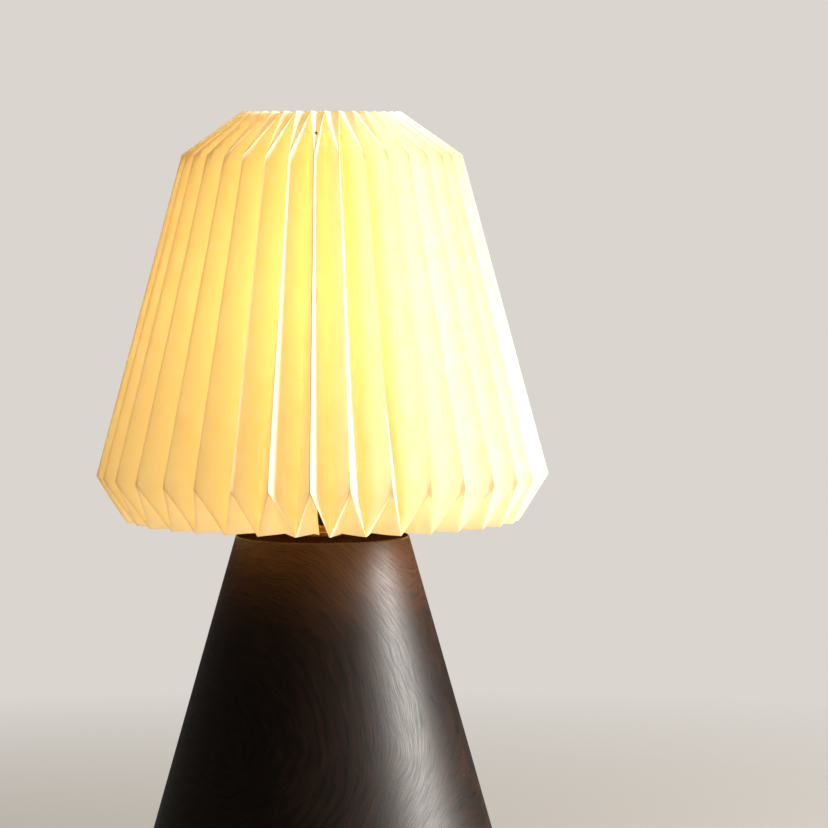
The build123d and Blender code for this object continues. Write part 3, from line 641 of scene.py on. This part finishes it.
# %% Twisting the cord
knot_reach = 65.9 * mm
knot_drop = 0.5 * mm
knot_tilt = math.radians(60)
cord_low, cord_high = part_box("gathering_cord")
cord_radius = (cord_high.z - cord_low.z) / 2
cord_height = (cord_high.z + cord_low.z) / 2
cord_loop = cord_high.x - cord_radius
cord_sizes = {
    "Loop radius": cord_loop,
    "Twist radius": 0.5 * cord_radius,
    "Ply radius": 0.48 * cord_radius,
    "Plies": 3,
    "Turns": 120.0,
    "Steps": 1080,
    "Centre": (0.0, 0.0, cord_height),
    "Tilt": (0.0, 0.0, 0.0),
    "Cotton": cotton,
}
cord = grown("gathering_cord_twisted", twist, twist_inputs, cord_sizes)
stands_for(cord, "shade", "gathering_cord")
knot_sizes = {
    **cord_sizes,
    "Loop radius": 0.7 * mm,
    "Twist radius": 0.2 * mm,
    "Ply radius": 0.3 * mm,
    "Turns": 3.0,
    "Steps": 72,
    "Centre": (0.0, -knot_reach, cord_height - knot_drop),
    "Tilt": (knot_tilt, 0.0, 0.0),
    "Cotton": knot_cotton_painted_shade,
}
knot = grown("cord_knot", twist, twist_inputs, knot_sizes)
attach(knot, "shade")
print("knot", [round(v / mm, 1) for v in knot.dimensions], "mm")

# %% [markdown]
# ## The felt under the foot
#
# The felt is a disc of pressed wool, cut with a punch, so its edge is a little soft and not quite
# round. A half outline turned round the lamp's axis makes it, and the small waves of the cut
# edge are drawn from sines of the turn.


# %% Felt disc
def lathed(name, outline, segments, finish, ripple=0.0):
    """A closed piece turned from (radius, height) points, with a rippled rim if asked."""
    shape = bmesh.new()
    points = [shape.verts.new((radius, 0.0, height)) for radius, height in outline]
    lines = [shape.edges.new(pair) for pair in zip(points, points[1:])]
    bmesh.ops.spin(
        shape,
        geom=points + lines,
        cent=(0, 0, 0),
        axis=(0, 0, 1),
        angle=2 * math.pi,
        steps=segments,
        use_merge=True,
    )
    bmesh.ops.remove_doubles(shape, verts=shape.verts, dist=0.005 * mm)
    bmesh.ops.recalc_face_normals(shape, faces=shape.faces)
    for point in shape.verts:
        turn = math.atan2(point.co.y, point.co.x)
        swell = ripple * (math.sin(23 * turn) + 0.6 * math.sin(57 * turn + 1.0))
        reach = math.hypot(point.co.x, point.co.y)
        if reach > 0:
            point.co.x *= 1 + swell / reach
            point.co.y *= 1 + swell / reach
    for face in shape.faces:
        face.smooth = True
    mesh = bpy.data.meshes.new(name)
    shape.to_mesh(mesh)
    shape.free()
    mesh.materials.append(finish)
    return placed(name, mesh)


felt_low, felt_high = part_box("felt_pad")
felt_ripple = 0.12 * mm
felt_radius = felt_high.x - 2 * felt_ripple
felt_edge = 0.7 * mm
felt_segments = 160
edge_steps = 6
face_ring = 0.6 * felt_radius
middle = (felt_low.z + felt_high.z) / 2
half = (felt_high.z - felt_low.z) / 2
felt_outline = [(0.0, felt_low.z), (face_ring, felt_low.z)]
for step in range(edge_steps + 1):
    bend = math.pi * (step / edge_steps - 0.5)
    felt_outline.append(
        (felt_radius - felt_edge * (1 - math.cos(bend)), middle + half * math.sin(bend))
    )
felt_outline += [(face_ring, felt_high.z), (0.0, felt_high.z)]
felt = lathed("felt_disc", felt_outline, felt_segments, wool_felt, felt_ripple)
stands_for(felt, "base", "felt_pad")

# %% [markdown]
# ## The turned cone
#
# The cone is turned from a block whose heart runs front to back, so the growth rings show on its
# face as arches round one point, low and left of centre. It is stained nearly black and finished
# with satin oil: the colour is almost lost, and what the eye gets is the fine pores, drawn out
# along the rings, that break up a broad soft reflection. A pore is finer than a pixel, so it is
# drawn about twice as wide as it is. Near the top a warmer brown is painted in: painted light, for
# the lamp's glow that falls on the cone below the shade. The flat top is left unoiled, because seen
# so low, any gloss makes it a bright ellipse. That links the specular level to a mask, which an
# exporter may drop.

# %% Stained turned wood
stain_dark = paint("#0A0503")
stain_mid = paint("#160B06")
stain_light = paint("#28160A")
# The warm brown near the top is painted light: the lamp's glow on the cone.
painted_lamp_glow_tone = paint("#693F1B")
oil_shine = 0.22
lamp_glow_from = 196 * mm
lamp_glow_to = 262 * mm
lamp_glow_share = 0.36
faces_up = (0.75, 0.95)
streak_range = (0.42, 0.75)
streak_depth = 0.8
streak_relief = 0.6
streak_stretch = (0.14, 0.45, 0.45)
pore_range = (0.38, 0.52)
pore_depth = 0.75
rough_between_pores = (0.52, 0.38)
heart_place = (-48 * mm, 0.0, 136 * mm)
heart_lean = (math.radians(6), 0.0, math.radians(9))
waver_size = 70 * mm
waver_depth = 26 * mm
ring_spacing = 6.5 * mm
pore_length = 13 * mm
pore_width = 0.5 * mm
mean_ring = 100 * mm


def stained_wood():
    """Rings round the heart of the block, with pores drawn out along them, and a painted lamp glow
    near the top.
    """
    material, tree, surface, _, place = finish_named("stained_turned_wood_satin")
    heart = {"Location": tuple(-v for v in heart_place), "Rotation": heart_lean}
    from_heart = add(tree, "ShaderNodeMapping", place, named=heart)
    slow = {"Scale": 1 / waver_size, "Detail": 2.0}
    waver = add(tree, "ShaderNodeTexNoise", from_heart, named=slow).outputs["Color"]
    centred = add(tree, vector_calc, waver, (0.5, 0.5, 0.5), operation="SUBTRACT")
    pushed = add(tree, vector_calc, centred, named={"Scale": waver_depth}, operation="SCALE")
    grown_place = add(tree, vector_calc, from_heart, pushed, operation="ADD")
    axes = add(tree, "ShaderNodeSeparateXYZ", grown_place).outputs
    flat = add(tree, "ShaderNodeCombineXYZ", axes["X"], 0.0, axes["Z"])
    ring_radius = add(tree, vector_calc, flat, operation="LENGTH").outputs["Value"]
    ring_turn = add(tree, calc, axes["Z"], axes["X"], operation="ARCTAN2")
    ring_count = add(tree, calc, ring_radius, ring_spacing, operation="DIVIDE")
    year = add(tree, calc, ring_count, operation="FRACT")
    late = add(tree, rescale, year, 0.3, 1.0, 0.0, 1.0, interpolation_type="SMOOTHSTEP")
    pore_across = add(tree, calc, ring_radius, pore_width, operation="DIVIDE")
    pore_round = add(tree, calc, ring_turn, mean_ring / pore_length, operation="MULTIPLY")
    pore_along = add(tree, calc, axes["Y"], pore_length, operation="DIVIDE")
    pore_place = add(tree, "ShaderNodeCombineXYZ", pore_across, pore_round, pore_along)
    fine = {"Scale": 1.0, "Detail": 3.0, "Roughness": 0.65}
    pores = add(tree, "ShaderNodeTexNoise", pore_place, named=fine)
    broad = add(tree, "ShaderNodeMapping", pore_place, named={"Scale": streak_stretch})
    streaks = add(tree, "ShaderNodeTexNoise", broad, named={"Scale": 1.0, "Detail": 2.0})
    tone = add(tree, join, late, stain_mid, stain_dark, data_type="RGBA")
    streak_share = add(tree, rescale, streaks, *streak_range, 0.0, streak_depth)
    tone = add(tree, join, streak_share, tone, stain_light, data_type="RGBA")
    # Painted light: towards the top the tone turns warm brown, for the lamp's glow.
    above = add(tree, "ShaderNodeSeparateXYZ", place).outputs["Z"]
    lamp_glow_span = (lamp_glow_from, lamp_glow_to, 0.0, lamp_glow_share)
    lamp_glow_mask = add(tree, rescale, above, *lamp_glow_span, interpolation_type="SMOOTHSTEP")
    tone = add(tree, join, lamp_glow_mask, tone, painted_lamp_glow_tone, data_type="RGBA")
    normal = add(tree, "ShaderNodeNewGeometry").outputs["Normal"]
    facing = add(tree, "ShaderNodeSeparateXYZ", normal).outputs["Z"]
    unpolished = add(tree, rescale, facing, *faces_up, 0.0, 1.0)
    tone = add(tree, join, unpolished, tone, stain_light, data_type="RGBA")
    pore_share = add(tree, rescale, pores, *pore_range, pore_depth, 0.0)
    tone = add(tree, join, pore_share, tone, stain_dark, data_type="RGBA")
    rough = add(tree, rescale, pores, *noise_range, *rough_between_pores)
    oiled = add(tree, rescale, unpolished, 0.0, 1.0, oil_shine, 0.0)
    grain = add(tree, calc, streaks, streak_relief, pores, operation="MULTIPLY_ADD")
    relief = {"Height": grain, "Strength": 0.5, "Distance": 0.12 * mm}
    bump = add(tree, "ShaderNodeBump", named=relief)
    satin = {
        "Base Color": tone,
        "Roughness": rough,
        "Normal": bump,
        "IOR": 1.5,
        "Specular IOR Level": oiled,
    }
    dress(tree, surface, satin)
    return material


wood = stained_wood()
print("wood finish", wood.name)

# %% [markdown]
# The construction gives its pieces as loose triangles, with a hard line in the shading where the
# cone's side closes on itself. On this broad glossy side that line would be seen, so the cone is
# shown as a merged copy: smooth all round, and sharp only at its true edges.

# %% The cone, merged
true_edge = math.radians(30)
same_point = 0.002 * mm
turned = bmesh.new()
turned.from_mesh(cad_nodes["base_cone"].data)
bmesh.ops.remove_doubles(turned, verts=turned.verts, dist=same_point)
for face in turned.faces:
    face.smooth = True
turned_mesh = bpy.data.meshes.new("turned_cone")
turned.to_mesh(turned_mesh)
turned.free()
turned_mesh.set_sharp_from_angle(angle=true_edge)
turned_mesh.materials.clear()
turned_mesh.materials.append(wood)
turned_cone = placed("turned_cone", turned_mesh)
stands_for(turned_cone, "base", "base_cone")

# %% [markdown]
# ## The small hard pieces
#
# The other pieces are metals, mouldings, glass and ceramic. Each starts from what such a surface
# usually is: its colour, how rough it is, and the size and direction of the marks that its making
# left on it.


# %% Finishes of the fittings
def worked(name, tones, mark_size, rough, metallic=0.0, stretch=(1, 1, 1), depth=0.02 * mm):
    """A hard surface with marks of a real size: they shift its colour, gloss and relief."""
    material, tree, surface, _, place = finish_named(name)
    drawn = add(tree, "ShaderNodeMapping", place, named={"Scale": stretch})
    grit = {"Scale": 1 / mark_size, "Detail": 4.0, "Roughness": 0.6}
    marks = add(tree, "ShaderNodeTexNoise", drawn, named=grit)
    light, dark = (paint(tone) for tone in tones)
    tone = add(tree, join, marks, light, dark, data_type="RGBA")
    shine = add(tree, rescale, marks, *noise_range, *rough)
    relief = {"Height": marks, "Strength": 0.3, "Distance": depth}
    bump = add(tree, "ShaderNodeBump", named=relief)
    made = {"Base Color": tone, "Roughness": shine, "Normal": bump, "Metallic": metallic}
    dress(tree, surface, made)
    return material


turned_marks = (1.0, 1.0, 14.0)
along_ply = (0.15, 1.0, 1.0)
finishes = {
    "stained_wood": wood,
    "shade_paper": shade_paper,
    "felt": wool_felt,
    "white_cord": cotton,
    "plywood": worked(
        "birch_plywood_sanded", ("#D9B98A", "#B98F5C"), 3 * mm, (0.55, 0.75), stretch=along_ply
    ),
    "cast_iron": worked(
        "cast_iron_as_cast", ("#34343A", "#1D1D20"), 1.2 * mm, (0.55, 0.8), 0.7, depth=0.2 * mm
    ),
    "zinc_steel": worked("zinc_plated_steel", ("#C9CCD0", "#9FA4AA"), 2 * mm, (0.25, 0.45), 1.0),
    "black_steel": worked(
        "black_powder_coated_steel", ("#0E0E0E", "#050505"), 0.6 * mm, (0.35, 0.5), depth=0.04 * mm
    ),
    "brass": worked(
        "turned_brass_satin", ("#C99C55", "#9E7335"), 1.5 * mm, (0.2, 0.38), 1.0, turned_marks
    ),
    "black_plastic": worked(
        "black_phenolic_moulded", ("#171513", "#0B0A09"), 0.8 * mm, (0.3, 0.45), depth=0.03 * mm
    ),
    "white_plastic": worked("white_polyamide_moulded", ("#EDEBE4", "#DAD6CB"), 1 * mm, (0.4, 0.55)),
    "porcelain": worked("glazed_porcelain", ("#F3EFE6", "#E3DCCB"), 2.5 * mm, (0.08, 0.16)),
    "brown_insulation": worked("brown_pvc_extruded", ("#5A3420", "#3E2214"), 0.8 * mm, (0.4, 0.55)),
    "blue_insulation": worked("blue_pvc_extruded", ("#2B62B8", "#1D4788"), 0.8 * mm, (0.4, 0.55)),
    "white_wire": worked(
        "white_powder_coated_wire", ("#EFEAE0", "#DDD5C6"), 0.5 * mm, (0.4, 0.55), depth=0.03 * mm
    ),
    "nickel_cap": worked(
        "nickel_plated_brass", ("#C8C2B4", "#A19A8B"), 1.5 * mm, (0.22, 0.4), 1.0, turned_marks
    ),
    "black_insulator": worked(
        "black_vitreous_glass", ("#0C0C0F", "#040405"), 1.0 * mm, (0.08, 0.18)
    ),
    "solder_tip": worked(
        "tin_solder_tip", ("#B9BABB", "#8C8E90"), 0.9 * mm, (0.3, 0.5), 1.0, depth=0.1 * mm
    ),
    "filament": worked("phosphor_coated_filament", ("#F2C04A", "#D99E2C"), 0.6 * mm, (0.5, 0.7)),
}
print("fitting finishes", len(finishes))

# %% [markdown]
# The bulb has an opal glass: white inside, so it glows all over like a small moon. It only has to
# glow to the eye here, because the light that fills the shade comes from a lamp of the same size
# that sits round it and travels with it. The mount inside it is clear glass.

# %% Opal glass, lit, and the clear glass of its mount
lamp_white = paint("#FFE0A6")
bulb_emission = 3.0
coat_size = 12 * mm
flame_wave = 4 * mm


def opal_glass():
    """Smooth white glass that glows evenly."""
    material, tree, surface, _, place = finish_named("opal_glass_lit")
    mist = {"Scale": 1 / coat_size, "Detail": 2.0}
    coat = add(tree, "ShaderNodeTexNoise", place, named=mist)
    tone = add(tree, join, coat, paint("#FFF4DF"), paint("#FFEBC8"), data_type="RGBA")
    lit = {
        "Base Color": tone,
        "Roughness": 0.18,
        "Emission Color": lamp_white,
        "Emission Strength": bulb_emission,
    }
    dress(tree, surface, lit)
    return material


def clear_glass():
    """The pressed stem inside the bulb, a little uneven from the flame."""
    material, tree, surface, _, place = finish_named("clear_soda_glass")
    wave = add(tree, "ShaderNodeTexNoise", place, named={"Scale": 1 / flame_wave})
    shine = add(tree, rescale, wave, *noise_range, 0.02, 0.08)
    pressed = {
        "Base Color": paint("#F2F7F5"),
        "Roughness": shine,
        "Transmission Weight": 1.0,
        "IOR": 1.5,
    }
    dress(tree, surface, pressed)
    return material


finishes["opal_glass"] = opal_glass()
finishes["clear_glass"] = clear_glass()

# %% [markdown]
# The record names a finish for each of the construction's own pieces, so one loop hands them out.

# %% Giving the construction's own pieces their finish
for part in frame["record"]["subparts"]:
    for spot in cad_nodes[part["node"]].material_slots:
        spot.material = finishes[part["material_slot"]]

# %% [markdown]
# ## The screw threads
#
# The bulb's cap and the shell that takes it are thin metal, rolled into a rounded thread. The
# construction keeps both as plain cups. A thread follows a rule, so Geometry Nodes roll them: a
# grid is wrapped into a cup with a flat shoulder, and its wall is pressed in by a cosine that
# climbs one pitch for each turn.

# %% The thread-rolling tree
cup_weld = 0.01 * mm
roll, wanted, roll_inputs = tree_with(
    "roll_the_thread",
    {
        "Around": "Int",
        "Shoulder rows": "Int",
        "Wall rows": "Int",
        "Hole radius": "Float",
        "Wall radius": "Float",
        "Foot": "Float",
        "Wall height": "Float",
        "Thread depth": "Float",
        "Pitch": "Float",
        "Metal": "Material",
    },
)
cup_rows = add(roll, calc, wanted["Shoulder rows"], wanted["Wall rows"], operation="ADD")
around_points = add(roll, calc, wanted["Around"], 1.0, operation="ADD")
up_points = add(roll, calc, cup_rows, 1.0, operation="ADD")
strip = add(roll, "GeometryNodeMeshGrid", 1.0, cup_rows, around_points, up_points)
strip_place = add(roll, "ShaderNodeSeparateXYZ", add(roll, "GeometryNodeInputPosition")).outputs
turn_share = add(roll, calc, strip_place["X"], 0.5, operation="ADD")
cup_up = add(roll, calc, cup_rows, 0.5, strip_place["Y"], operation="MULTIPLY_ADD")
shoulder_radius = add(
    roll,
    rescale,
    cup_up,
    0.0,
    wanted["Shoulder rows"],
    wanted["Hole radius"],
    wanted["Wall radius"],
)
climb = add(roll, rescale, cup_up, wanted["Shoulder rows"], cup_rows, 0.0, wanted["Wall height"])
pitches = add(roll, calc, climb, wanted["Pitch"], operation="DIVIDE")
winding = add(roll, calc, pitches, turn_share, operation="SUBTRACT")
winding_angle = add(roll, calc, winding, 2 * math.pi, operation="MULTIPLY")
crest = add(roll, calc, winding_angle, operation="COSINE")
pressed_in = add(roll, calc, crest, -0.5, 0.5, operation="MULTIPLY_ADD")
below_top = add(roll, calc, wanted["Wall height"], climb, operation="SUBTRACT")
from_end = add(roll, calc, climb, below_top, operation="MINIMUM")
run_out = add(roll, rescale, from_end, 0.0, wanted["Pitch"], 0.0, wanted["Thread depth"])
cup_radius = add(
    roll,
    calc,
    shoulder_radius,
    add(roll, calc, pressed_in, run_out, operation="MULTIPLY"),
    operation="SUBTRACT",
)
cup_height = add(roll, calc, climb, wanted["Foot"], operation="ADD")
cup_angle = add(roll, calc, turn_share, 2 * math.pi, operation="MULTIPLY")
cup_place = add(
    roll,
    "ShaderNodeVectorRotate",
    add(roll, "ShaderNodeCombineXYZ", cup_radius, 0.0, cup_height),
    named={"Angle": cup_angle},
    rotation_type="Z_AXIS",
)
rolled = add(roll, "GeometryNodeSetPosition", named={"Geometry": strip, "Position": cup_place})
closed_cup = add(
    roll, "GeometryNodeMergeByDistance", named={"Geometry": rolled, "Distance": cup_weld}
)
smooth_cup = add(roll, "GeometryNodeSetShadeSmooth", closed_cup)
real_cup = add(roll, "GeometryNodeRealizeInstances", smooth_cup)
finish = {"Geometry": real_cup, "Material": wanted["Metal"]}
add(roll, "NodeGroupOutput", add(roll, "GeometryNodeSetMaterial", named=finish))
print("rolling tree", len(roll.nodes), "nodes")

# %% [markdown]
# Both cups take their outer size from the construction. Each has the radius of the hole in its
# shoulder, the depth of its thread and the thickness of its metal, in that order.

# %% Cap and shell
thread_pitch = 3.63 * mm
cups = {
    "bulb_cap": ("bulb_cap_threaded", "bulb", "nickel_cap", 5.1 * mm, 0.6 * mm, 0.35 * mm),
    "screw_shell": ("screw_shell_threaded", "base", "brass", 11.0 * mm, 0.2 * mm, 0.3 * mm),
}
for node, (name, body, slot, hole_radius, thread_depth, wall) in cups.items():
    cup_low, cup_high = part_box(node)
    cup_sizes = {
        "Around": 72,
        "Shoulder rows": 3,
        "Wall rows": 84,
        "Hole radius": hole_radius,
        "Wall radius": cup_high.x,
        "Foot": cup_low.z,
        "Wall height": cup_high.z - cup_low.z,
        "Thread depth": thread_depth,
        "Pitch": thread_pitch,
        "Metal": finishes[slot],
    }
    stands_for(grown(name, roll, roll_inputs, cup_sizes, wall), body, node)

# %% [markdown]
# ## Stage, light and camera
#
# The floor is a plain pale disc that fades out before its edge. Daylight comes from one tall soft
# light, low on the right and almost side on: it grazes the pleats, so that only a narrow band
# beside each ridge is lit where the shade faces the eye, and all of it further right. The bulb's
# light is a small warm sphere just round its glass, and travels with the bulb.

# %% Stage
floor_radius = 1.6
floor_segments = 96
floor_solid = 0.3
floor_gone = 1.2


def floor_finish():
    """Matt pale ground that turns clear towards its edge."""
    material, tree, surface, output, place = finish_named("pale_ground")
    reach = add(tree, vector_calc, place, operation="LENGTH").outputs["Value"]
    fade = add(tree, rescale, reach, floor_solid, floor_gone, 0.0, 1.0)
    dress(tree, surface, {"Base Color": paint("#AEA9A2"), "Roughness": 0.9})
    clear = add(tree, "ShaderNodeBsdfTransparent")
    ground_shader = add(tree, "ShaderNodeMixShader", fade, surface, clear)
    dress(tree, output, {"Surface": ground_shader})
    return material


ground = bmesh.new()
bmesh.ops.create_circle(ground, cap_ends=True, segments=floor_segments, radius=floor_radius)
ground_mesh = bpy.data.meshes.new("floor")
ground.to_mesh(ground_mesh)
ground.free()
ground_mesh.materials.append(floor_finish())
floor = placed("floor", ground_mesh)

# %% [markdown]
# The eye sees the pale backdrop at full strength. As a light on the lamp it is much dimmer, so
# that the bulb and the daylight model the folds.

# %% World: pale to the eye, dimmer as a light
backdrop_strength = 1.0
fill_strength = 0.14
room = bpy.data.worlds.new("pale_room")
bpy.context.scene.world = room
room.use_nodes = True
room.node_tree.nodes.clear()
seen = add(room.node_tree, "ShaderNodeBackground", paint("#DAD5CF"), backdrop_strength)
lighting = add(room.node_tree, "ShaderNodeBackground", paint("#E8E2DA"), fill_strength)
looked_at = add(room.node_tree, "ShaderNodeLightPath").outputs["Is Camera Ray"]
either = add(room.node_tree, "ShaderNodeMixShader", looked_at, lighting, seen)
add(room.node_tree, "ShaderNodeOutputWorld", either)
print("world", room.name)

# %% [markdown]
# The daylight is aimed at the lamp, a little above its middle. The bulb's light shares the globe's
# centre and is a millimetre larger.

# %% Lights
aim_height = 0.3
bulb_watts = 0.26
round_the_glass = 1 * mm


def towards(place, target):
    """The turn that makes a light at a place look at a target."""
    return (Vector(target) - Vector(place)).to_track_quat("-Z", "Y").to_matrix().to_4x4()


def soft_light(name, azimuth, elevation, distance, width, height, power, colour):
    """A large rectangular light; azimuth 0 is the camera's side and 90 is the right."""
    a, e = math.radians(azimuth), math.radians(elevation)
    way = Vector((math.sin(a) * math.cos(e), -math.cos(a) * math.cos(e), math.sin(e)))
    aim = Vector((0, 0, aim_height))
    place = aim + way * distance
    data = bpy.data.lights.new(name, "AREA")
    data.shape = "RECTANGLE"
    data.size, data.size_y = width, height
    data.energy = power
    data.color = paint(colour)[:3]
    placed(name, data).matrix_world = Matrix.Translation(place) @ towards(place, aim)


soft_light(
    "daylight",
    azimuth=82,
    elevation=14,
    distance=3.0,
    width=1.1,
    height=1.5,
    power=350,
    colour="#FFFBF5",
)

bulb_low, bulb_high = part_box("bulb_glass")
globe_radius = (bulb_high.x - bulb_low.x) / 2
glow = bpy.data.lights.new("bulb_glow", "POINT")
glow.energy = bulb_watts
glow.color = lamp_white[:3]
glow.shadow_soft_size = globe_radius + round_the_glass
glow.use_soft_falloff = False
bulb_glow = placed("bulb_glow", glow)
bulb_glow.location = (0, 0, bulb_high.z - globe_radius)
bulb_glow.parent = frame["bodies"]["bulb"]
print("bulb centre", round(bulb_glow.location.z, 4), "m")

# %% [markdown]
# The camera stands level with the shade's upper creases and tips down a little, so that the
# creases line up as they do to a seated eye. Its place comes from how large a pixel is at the
# lamp, and from where the lamp's axis and the eye's level fall in the picture.

# %% Camera
picture = 828
lamp_axis_pixel = 322
eye_level_pixel = 155
focal_pixels = 3950
eye_height = 493.5 * mm
pixel_at_lamp = 0.614 * mm
camera_azimuth = math.radians(3.0)
sensor_width = 36
distance = focal_pixels * pixel_at_lamp
turned_right = math.atan((picture / 2 - lamp_axis_pixel) / focal_pixels)
tipped_down = math.atan((picture / 2 - eye_level_pixel) / focal_pixels)
camera_data = bpy.data.cameras.new("camera")
camera_data.sensor_width = sensor_width
camera_data.lens = sensor_width * focal_pixels / picture
camera = placed("camera", camera_data)
stand = Vector((math.sin(camera_azimuth), -math.cos(camera_azimuth), 0)) * distance
stand.z = eye_height
level = Matrix.Rotation(math.pi / 2, 4, "X")
pan = Matrix.Rotation(camera_azimuth - turned_right, 4, "Z")
tilt = Matrix.Rotation(-tipped_down, 4, "X")
camera.matrix_world = Matrix.Translation(stand) @ pan @ level @ tilt
bpy.context.scene.camera = camera
bpy.context.scene.view_settings.view_transform = "Standard"
print("camera", round(camera_data.lens, 1), "mm at", round(distance, 2), "m")
